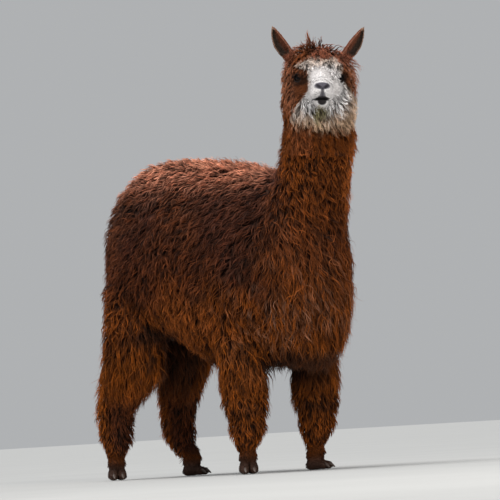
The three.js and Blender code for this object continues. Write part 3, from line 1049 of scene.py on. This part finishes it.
def scatter(chosen, spacing, seed):
    """Evenly strewn roots, with their normals, on the faces whose points are all chosen."""
    random = np.random.default_rng(seed)
    faces = skin_faces[chosen[skin_faces].all(-1)]
    areas = np.linalg.norm(face_normals(skin_points, faces), axis=-1)
    wanted = int(4 * areas.sum() / spacing**2)
    picked = faces[random.choice(len(faces), wanted, p=areas / areas.sum())]
    share = random.dirichlet((1, 1, 1), wanted)[..., None].astype(np.float32)
    roots = (skin_points[picked] * share).sum(1)
    normals = unit((skin_normals[picked] * share).sum(1))
    cells = np.floor(roots / spacing).astype(int)
    _, first = np.unique(cells, axis=0, return_index=True)
    return roots[first], normals[first]


def cluster_of(roots, size, seed):
    """Each root's cluster, and the middle of that cluster: cells with wandering walls."""
    wander = stack(*[noise(roots, 1.6 * size, seed + axis) for axis in range(3)])
    cells = np.floor((roots + 0.45 * size * wander) / size).astype(int)
    _, cluster = np.unique(cells, axis=0, return_inverse=True)
    cluster = cluster.ravel()
    sums = stack(*[np.bincount(cluster, roots[:, axis]) for axis in range(3)])
    return cluster, (sums / np.bincount(cluster)[:, None])[cluster]


# ---- Coat: the lie ----


def body_lie(points):
    """Which way the fleece falls: down and back on the barrel, straight down the neck and legs."""
    _, y, z = points.T
    back = mix(0.75, 0.22, smooth(z, 0.75, 0.45))
    back = mix(back, -0.16, smooth(y, -0.235, -0.335))
    legs = smooth(z, 0.42, 0.30)
    back = mix(back, 0.10, legs) + 0.3 * smooth(y, 0.26, 0.36) * legs
    back = mix(back, 0.05, smooth(y, 0.40, 0.47) * (1 - legs))
    return stack(0, back, -1)


WHORL = np.array([4, 84, 104], np.float32)


def head_lie(p):
    """Which way the head's hair falls: out from a whorl, down cheeks and beard, back over the face."""
    x, _, z = p.T
    lie = unit((p - WHORL) * (0.5, 1, 1))
    for direction, share in (
        (stack(mix(-0.25, 0.6, x > 0), 0.3, -0.8), smooth(z, 20, -30)),
        (stack(0.1 * np.sign(x), 0.15, -1), smooth(z, -60, -100)),
        (stack(0.25 * np.sign(x), 1, 0.1), smooth(bare_face(p), 4, -6)),
    ):
        lie = mix(lie, direction, share[:, None])
    return HEAD.aim(lie)


def swirled(lie, normals, angle):
    """The lie laid along the skin and turned about its normals."""
    lie = unit(lie - normals * (lie * normals).sum(-1, keepdims=True))
    side = np.cross(normals, lie)
    return lie * np.cos(angle)[:, None] + side * np.sin(angle)[:, None]


# ---- Coat: locks ----

RING = 3  # corners of a lock's section
LOCK_FLATNESS = 0.62  # a section's height to its width
# The share of a lock's width that it has at each of its sections.
HAIR_TAPER = (0.8, 0.9)
LASH_TAPER = (0.8, 1.0, 0.66)
FLEECE_TAPER = (0.8, 1.0, 0.9, 0.55)
CURL_TAPER = (0.8, 1.0, 0.95, 0.85, 0.7, 0.45)
PATCH = 0.003  # a lock's size on the unwrap
MOST_TRIANGLES = 200_000  # in one piece
BLEACH_AND_HIGHLIGHT = np.array([2.7, 1.5, 1.0])  # what sun-bleaching and painted highlight leave of a brown, times its mean

# Where each part of the coat starts its random draws.
BODY_SEED, HEAD_SEED, FACE_SEED, EAR_SEED, FOOT_SEED, LASH_SEED = 100, 200, 300, 310, 320, 330

STYLES = {  # each measure for the body's fleece, the head's curls and the short hair
    "length": (50 * MM, 50 * MM, 8 * MM),
    "width": (4.0 * MM, 2.6 * MM, 1.5 * MM),
    "wave": (5.5 * MM, 2.8 * MM, 0.3 * MM),
    "wavelength": (56 * MM, 19 * MM, 12 * MM),
    "cluster": (11 * MM, 12 * MM, 9 * MM),
    "clump": (0.88, 0.85, 0.25),
    "spread": (0.55, 0.6, 0.14),
    "drift": (0.35, 0.35, 0.1),
    "stray": (0.16, 0.16, 0.02),
    "rise": (0.92, 0.92, 1),
    "sag": (3 * MM, 3 * MM, 0),
    # root_tone and tip_tone: painted shade toward each lock's root, painted highlight toward its tip
    "root_tone": (0.12, 0.3, 0.8),
    "tip_tone": (2.25, 1.5, 1.06),
    "mottle": (0.46, 0.28, 0.05),
    "bleach_and_highlight": (0.6, 0, 0),
}
FLEECE, CURLS, SHORT = ({name: row[i] for name, row in STYLES.items()} for i in range(3))


def locks_at(roots, normals, lie, depth, style, seed):
    """A lock for each root, with its measures alike within a cluster."""
    style = SimpleNamespace(**style)
    random = np.random.default_rng(seed)
    cluster, middle = cluster_of(roots, style.cluster, seed)
    shared = random.uniform(-1, 1, (cluster.max() + 1, 4))[cluster]
    own = random.uniform(-1, 1, (len(roots), 4))
    drift = style.drift * (noise(roots, 0.15, seed) + 0.8 * noise(roots, 0.05, seed + 1))
    stray = random.random(len(roots)) < style.stray
    angle = drift + style.spread * shared[:, 0] + (0.15 * style.spread + 0.7 * stray) * own[:, 0]
    toward = middle - roots
    toward -= normals * (toward * normals).sum(-1, keepdims=True)
    length = style.length * (1 + 0.18 * shared[:, 1] + 0.12 * own[:, 1])
    mottle = style.mottle * (1.5 * shared[:, 1] + 0.7 * own[:, 3])
    return SimpleNamespace(
        roots=roots,
        normals=normals,
        along=swirled(lie, normals, angle),
        length=length,
        rise=depth * style.rise * (1 + 0.28 * shared[:, 2] + 0.10 * own[:, 2] + 0.22 * stray),
        width=style.width * (1 + 0.25 * own[:, 3]) * (1 - 0.5 * stray),
        wave=style.wave * (1 + 0.3 * own[:, 2]) * np.minimum(1, length / (30 * MM)),
        turns=length / style.wavelength * (1 + 0.1 * shared[:, 1]),
        phase=np.pi * shared[:, 3] + 0.3 * own[:, 1],
        pull=toward * (style.clump * (1 - stray))[:, None],
        sag=np.broadcast_to(style.sag, len(roots)),
        root_tone=style.root_tone * (1 + 0.1 * own[:, 0]),
        # stray locks get brighter tips, a painted highlight for backlit fuzz
        tip_tone=style.tip_tone * (1 + mottle) * mix(1, 1.7, stray),
        bleach_and_highlight=style.bleach_and_highlight * np.clip(0.7 + 0.8 * shared[:, 0], 0, 1),
    )


def showing(locks):
    """Where most of each lock shows, past its middle."""
    out = locks.normals * (0.9 * locks.rise)[:, None] + locks.along * (0.55 * locks.length)[:, None]
    return locks.roots + out + 0.5 * locks.pull


def lock_points(locks, taper):
    """The points of tapering locks, by lock: a ring for each section, and a tip.

    Each lock rises through the coat, leans over along the lie, waves from side to side, and is drawn
    towards the tip that its cluster shares.
    """

    def column(values):
        return values[:, None, None]

    t = np.linspace(0, 1, len(taper) + 1)[:, None]
    normals, along = locks.normals[:, None], locks.along[:, None]
    phase = column(locks.turns) * 2 * np.pi * t + column(locks.phase)
    swing = column(locks.wave) * np.minimum(1, 2.5 * t)
    centre = locks.roots[:, None] + normals * column(locks.rise) * (1 - (1 - t) ** 2)
    centre = centre + along * column(locks.length) * t**1.25
    centre = centre + np.cross(normals, along) * swing * np.sin(phase) + normals * swing * 0.7 * np.cos(phase)
    centre = centre + locks.pull[:, None] * t
    centre[..., 2] -= locks.sag[:, None] * t[:, 0] ** 2
    forward = unit(np.gradient(centre, axis=1))
    across = unit(np.cross(forward, normals))
    below = np.cross(forward, across) * LOCK_FLATNESS
    half = column(locks.width) * np.array(taper)[:, None] / 2
    corners = []
    for corner in range(RING):
        turn = 2 * np.pi * corner / RING - np.pi / 2
        offset = across[:, :-1] * math.cos(turn) + below[:, :-1] * math.sin(turn)
        corners.append(centre[:, :-1] + offset * half)
    rings = np.stack(corners, 2).reshape(len(centre), len(taper) * RING, 3)
    return np.concatenate([rings, centre[:, -1:]], 1)


def lock_faces(sections):
    """One lock's triangles, closed at its root and its tip."""
    rings, sides = tube(sections, RING)
    tip = stack(rings[-1], np.roll(rings[-1], -1), rings.size)
    return np.concatenate([rings[:1, ::-1], sides, tip])


def add_coat(name, locks, colours, taper, unwrap):
    """One piece of coat, with a small patch for each lock at its root's place on the unwrap."""
    sections = len(taper)
    points = lock_points(locks, taper)
    count, each = points.shape[:2]
    faces = (lock_faces(sections) + np.arange(count)[:, None, None] * each).reshape(-1, 3)
    assert len(faces) < MOST_TRIANGLES, (name, len(faces))
    t = np.append(np.repeat(np.arange(sections) / sections, RING), 1)
    # painted shade darkens each lock toward its root, for the gaps between locks, and a painted highlight
    # lightens its tip
    fade = mix(locks.root_tone[:, None], locks.tip_tone[:, None], smooth(t, 0.2, 1.0))
    # the tips pale toward a sun-bleached tone that is partly a painted highlight
    pale = colours.mean(-1, keepdims=True) * BLEACH_AND_HIGHLIGHT
    share = locks.bleach_and_highlight[:, None] * smooth(t, 0.2, 0.8)
    tones = mix(colours[:, None], pale[:, None], share[..., None]) * fade[..., None]
    piece = piece_of(name, WOOL, points.reshape(-1, 3), faces, tones.reshape(-1, 3))
    place = unwrap(locks.roots)
    low, high = place.min(0), place.max(0)
    place = PATCH + (place - low) / (high - low) * (1 - 3 * PATCH)
    corner = np.append(np.tile(np.arange(RING) / (RING - 1), sections), 0.5)
    spots = place[:, None] + PATCH * stack(corner, t)
    layer = piece.data.uv_layers.new(name="OFBake")
    layer.data.foreach_set("uv", spots.reshape(-1, 2)[faces.ravel()].astype(np.float32).ravel())


# ---- Coat: where it grows ----


def round_y(points):
    """An unwrap round the barrel."""
    x, y, z = points.T
    return stack(np.arctan2(x, z - 0.65), y)


def round_neck(points):
    x, y, z = points.T
    return stack(np.arctan2(x, -0.40 - y), z)


def round_head(points):
    x, y, z = (HEAD.inside(points) - (0, 40, -20)).T
    return stack(np.arctan2(x, -y), np.arctan2(z, np.hypot(x, y)))


def round_legs(points):
    """Each leg's own unwrap, side by side."""
    x, y, z = points.T
    place = np.zeros((len(points), 2))
    for index, leg in enumerate(LEGS):
        middle = middle_of(f"{leg}_cannon")
        here = (np.sign(x) == np.sign(middle[0])) & ((y > HIND) == (middle[1] > HIND))
        angle = np.arctan2(x[here] - middle[0], middle[1] - y[here])
        place[here] = stack(angle + 7 * index, z[here])
    return place


def body_regions(points):
    """The fleece's pieces by name, each point in just one."""
    x, y, z = points.T
    neck = (z - 0.80) - 0.82 * (y + 0.352) > 0
    legs = ~neck & ((z < 0.355) | ((z < 0.46) & (y > 0.24)))
    trunk = ~neck & ~legs
    middle = trunk & (y > -0.245) & (y < 0.305)
    back = middle & (z > 0.84)
    return {
        "neck": neck,
        "fore_legs": legs & (y < HIND),
        "hind_legs": legs & (y >= HIND),
        "chest": trunk & (y <= -0.245),
        "rump": trunk & (y >= 0.305),
        "back": back,
        "flank_left": middle & ~back & (x > 0),
        "flank_right": middle & ~back & (x <= 0),
    }


NECK_TOP = 0.99  # the neck's own fleece ends under the head's
BODY_SPACING = 6.5 * MM
TIGHTER = {"neck": 0.9, "fore_legs": 0.9, "hind_legs": 0.9, "chest": 0.95}
BODY_UNWRAPS = {"neck": round_neck, "fore_legs": round_legs, "hind_legs": round_legs}


def body_style(name, roots):
    """The fleece's measures: long on chest and skirt, short on back and legs."""
    _, y, z = roots.T
    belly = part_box("trunk")[0].z
    chest = smooth(y, -0.215, -0.335) * smooth(z, 0.82, 0.66)
    skirt = smooth(z, belly + 0.14, belly + 0.02)
    leg = smooth(z, belly + 0.02, belly - 0.08)
    length = mix(50, 80, np.maximum(chest, 0.7 * skirt)) * (1 + 0.3 * skirt * noise(roots, 0.03, 10))
    length = mix(mix(length, 38, leg), 36, smooth(z, 0.80, 0.92))
    wisps = smooth(noise(roots, 0.018, 9), -0.1, 0.3) * ridge(np.hypot((y + 0.28) / 0.17, (z - 0.53) / 0.16))
    withers = ridge(np.hypot((y + 0.10) / 0.15, (z - 0.94) / 0.05))
    knee = smooth(y, 0.1, 0) * (ridge(z - KNEE - 0.03, 0.03) - ridge(z - KNEE, 0.02))
    cuff = smooth(z, 0.15, 0.09)
    style = FLEECE | {
        "length": mix(length, 20, smooth(z, 0.19, 0.09)) * MM,
        "width": FLEECE["width"] * TIGHTER.get(name, 1),
        "sag": mix(3, 16, np.maximum(0.6 * chest, skirt) * (1 - leg)) * MM,
        # pale tips along the upper back, partly painted highlight, and pale wisps on the chest
        "bleach_and_highlight": np.maximum(0.35 * smooth(z, 0.6, 0.95) * smooth(y, -0.34, -0.2), 0.75 * wisps),
        "rise": FLEECE["rise"] * (1 + 0.45 * withers + 0.4 * knee) * (1 - 0.45 * cuff),
    }
    if "legs" in name:
        style |= {"wave": 3.5 * MM, "clump": 0.75, "spread": 0.4}
    return style


def add_body_coat(tree):
    covered = (skin_island == BODY_ISLAND) & (skin_points[:, 2] < NECK_TOP)
    for seed, (name, region) in enumerate(body_regions(skin_points).items(), BODY_SEED):
        roots, normals = scatter(region & covered, BODY_SPACING * TIGHTER.get(name, 1), seed)
        depth = depths_at(roots, normals, tree)
        locks = locks_at(roots, normals, body_lie(roots), depth, body_style(name, roots), seed)
        colours = markings(showing(locks), np.full(len(roots), BODY_ISLAND))
        add_coat("coat_" + name, locks, colours, FLEECE_TAPER, BODY_UNWRAPS.get(name, round_y))


SPIKE = np.array([-24, 38, 78])  # a tuft that stands up from the crown
SPIKE_RADIUS = 11
HEAD_COATS = (
    # name, whether a point is in it, spacing, thickness of its locks
    ("face_side", skin_in_head[:, 1] < 34, 4.2 * MM, 1),
    ("nape_side", skin_in_head[:, 1] > 31, 6.0 * MM, 1.3),
)


def add_head_coat(tree):
    """The topknot and fringe, cheeks, beard and throat."""
    covered = (skin_island == HEAD_ISLAND) & (skin_bare > -5) & (skin_points[:, 2] > NECK_TOP - 0.02)
    for seed, (name, region, spacing, thickness) in enumerate(HEAD_COATS, HEAD_SEED):
        roots, normals = scatter(covered & region, spacing, seed)
        q = HEAD.inside(roots)
        edge = smooth(bare_face(q), -5, 26)
        spike = ridge(np.hypot(q[:, 0] - SPIKE[0], q[:, 1] - SPIKE[1]), SPIKE_RADIUS) * (q[:, 2] > 50)
        flatter = smooth(q[:, 0], -30, -80) * smooth(q[:, 2], -130, -70)  # on the right side
        style = CURLS | {
            "length": (mix(12, 34, edge) * (1 - 0.2 * flatter) + 4 * spike) * MM,
            "width": CURLS["width"] * thickness,
            "sag": mix(2, 9, edge) * (1 - spike) * MM,
        }
        depth = np.minimum(depths_at(roots, normals, tree), mix(5, 40, edge) * MM)
        depth = depth * (1 - 0.4 * flatter) + 14 * MM * spike
        locks = locks_at(roots, normals, head_lie(q), depth, style, seed)
        upright = np.minimum(1, 1.6 * spike)[:, None]
        locks.along = unit(mix(locks.along, HEAD.aim(np.array([0, 0.1, 1])), upright))
        locks.pull = mix(locks.pull, HEAD.aim((SPIKE - q) * (MM, MM, 0)), upright)
        colours = head_markings(showing(locks))
        add_coat("coat_head_" + name, locks, colours, CURL_TAPER, round_head)


def add_face_coat():
    """Short flat hair from the nose to the eyes and cheeks; the nose, lips and lids stay bare."""
    wide = folded(skin_in_head)
    side, y, z = wide.T
    lids = (np.linalg.norm(wide - EYE, axis=-1) < 26) & (lid_gap(wide) < 3.2)
    nose = (y < -116) & (np.hypot(side / 25, (z + 32) / 13) < 1)
    groove = (y < -112) & (side < 7) & (z > -70) & (z < -30)
    mouth = (y < -58) & (np.abs(z - mouth_level(side, y)) < 3.5)
    mouth |= (y < -92) & (lips(wide) < 1)
    haired = (skin_island == HEAD_ISLAND) & (skin_bare < 3) & ~(lids | nose | groove | mouth)
    roots, normals = scatter(haired, 2.7 * MM, FACE_SEED)
    q = HEAD.inside(roots)
    edge = smooth(bare_face(q), -34, 2)
    style = SHORT | {"length": mix(6, 12, edge) * MM, "root_tone": mix(0.97, 0.75, edge)}
    locks = locks_at(roots, normals, head_lie(q), mix(0.6, 2.6, edge) * MM, style, FACE_SEED)
    add_coat("coat_face", locks, head_markings(roots), HAIR_TAPER, round_head)


def add_ear_coat():
    """Short hair toward the ears' tips, standing a little off their rims."""
    roots, normals = scatter(skin_island == EAR_ISLAND, 3.0 * MM, EAR_SEED)
    lie = HEAD.aim(EAR_AXIS * stack(np.sign(HEAD.inside(roots)[:, 0]), 1, 1))
    style = SHORT | {"length": 7 * MM, "spread": 0.3}
    locks = locks_at(roots, normals, lie, 1.2 * MM, style, EAR_SEED)
    add_coat("coat_ears", locks, ear_markings(roots), HAIR_TAPER, round_head)


def add_foot_coat():
    """Short hair down the pasterns and over the toes, longer at the fetlock."""
    z = skin_points[:, 2]
    haired = (skin_island == FOOT_ISLAND) & (z > 0.009) & (z < 0.098)
    roots, normals = scatter(haired, 3.9 * MM, FOOT_SEED)
    high = smooth(roots[:, 2], 0.035, 0.08)
    lie = np.tile([0.0, 0.0, -1.0], (len(roots), 1))
    for foot in FEET.values():
        on_foot = np.linalg.norm(roots[:, :2] - foot.origin[:2], axis=-1) < 0.09
        lie[on_foot] -= 0.9 * foot.back
    style = SHORT | {
        "length": mix(7, 20, high) * MM,
        "width": mix(1.8, 2.6, high) * MM,
        "tip_tone": mix(1.1, 1.7, high),
        "root_tone": mix(0.8, 0.4, high),
        "spread": 0.3,
    }
    locks = locks_at(roots, normals, lie, mix(1.4, 4, high) * MM, style, FOOT_SEED)
    add_coat("coat_feet", locks, body_markings(roots), HAIR_TAPER, round_legs)


LASHES = 34


def add_lashes():
    """Long dark lashes, fanned out from the upper lids and drooping over the eyes."""
    spread = np.linspace(-0.95, 0.95, LASHES)[:, None]
    lid = GAZE_ACROSS * spread * LIDS_HALF_LENGTH + GAZE_UP * (1 - spread**2) * LIDS_HALF_GAP
    place = EYE + unit(lid + GAZE * (EYE_RADIUS - 5)) * (EYE_RADIUS + LID)
    out = unit(GAZE + 0.9 * GAZE_ACROSS * spread - 0.25 * GAZE_UP)
    up = unit(GAZE_UP - out * (out @ GAZE_UP)[:, None])
    style = SHORT | {"length": 15 * MM, "width": 1.3 * MM, "sag": 4 * MM}
    for seed, (name, side) in enumerate((("lashes_left", LEFT), ("lashes_right", RIGHT)), LASH_SEED):
        mirror = np.array([side, 1, 1])
        roots, normals = HEAD.outside(place * mirror), HEAD.aim(up * mirror)
        locks = locks_at(roots, normals, HEAD.aim(out * mirror), 2 * MM, style, seed)
        add_coat(name, locks, np.broadcast_to(EYE_CORNER, roots.shape), LASH_TAPER, round_head)


outline = outline_tree()
add_body_coat(outline)
add_head_coat(outline)
add_face_coat()
add_ear_coat()
add_foot_coat()
add_lashes()

# ---- Floor and light ----

FLOOR_REACH = 60
LIT_POINT = Vector((0, 0, 0.7))


def add_floor():
    corners = FLOOR_REACH * np.array([(-1, -1, 0), (1, -1, 0), (1, 1, 0), (-1, 1, 0)])
    mesh = mesh_of("floor", corners, np.array([[0, 1, 2, 3]]))
    grey = (0.44, 0.44, 0.43, 1)
    mesh.materials.append(material_of("floor", mottle=(1.5, 3, 0.97, 1.03), plain=grey, Roughness=0.9))
    placed("floor", mesh)


def add_light(name, kind, energy, place):
    data = bpy.data.lights.new(name, kind)
    data.energy = energy
    light = placed(name, data)
    light.location = place
    light.rotation_euler = (LIT_POINT - Vector(place)).to_track_quat("-Z", "Y").to_euler()
    return data


def add_world():
    world = bpy.data.worlds.new("sky")
    world.use_nodes = True
    set_inputs(world.node_tree.nodes["Background"], Color=(0.86, 0.88, 0.90, 1), Strength=0.5)
    bpy.context.scene.world = world


bpy.context.scene.view_settings.view_transform = "Standard"
add_floor()
add_world()
# The sun is wide and even, and reaches the whole floor.
add_light("overhead", "SUN", 2.9, (-1.2, 0.6, 4.6)).angle = math.radians(50)
front = add_light("front", "AREA", 110, (-2.0, -4.8, 3.4))
front.shape = "DISK"
front.size = 2.2
front.color = (1, 0.96, 0.91)
